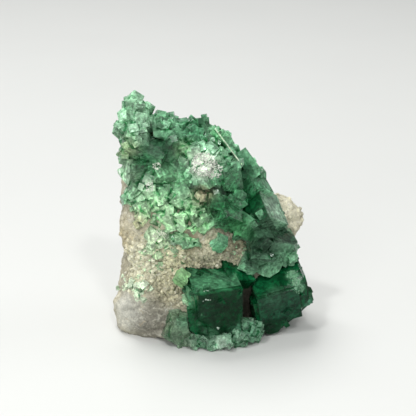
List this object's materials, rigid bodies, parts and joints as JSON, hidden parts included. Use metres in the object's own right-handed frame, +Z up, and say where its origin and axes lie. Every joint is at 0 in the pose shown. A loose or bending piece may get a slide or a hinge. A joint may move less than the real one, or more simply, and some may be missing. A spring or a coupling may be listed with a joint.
{
  "type": "fluorite specimen",
  "caption": "Wedge of pale host rock with a crust of small green fluorite cubes and large dark green crystals at its foot, standing on a flat base.",
  "frame": {"origin": "middle of the bounding box at the flat base, on the surface the specimen stands on", "axes": "+Z up, +X to the right of someone who looks at the crystal face, +Y away from them towards the bare rock back"},
  "size_m": [0.0622, 0.0432, 0.0737],
  "materials": {
    "host_rock": "rough",
    "crust_fluorite": "milky, clear at the edges",
    "dark_fluorite": "glossy",
    "pale_fluorite": "milky"
  },
  "bodies": {
    "root": {"matrix": "host_rock", "crystal_crust": "crust_fluorite", "large_left_crystal": "dark_fluorite", "large_right_crystal": "dark_fluorite", "corner_crystal": "pale_fluorite", "foot_crystals": "pale_fluorite", "single_cube": "pale_fluorite", "lozenge_crystal": "pale_fluorite"}
  },
  "joints": []
}
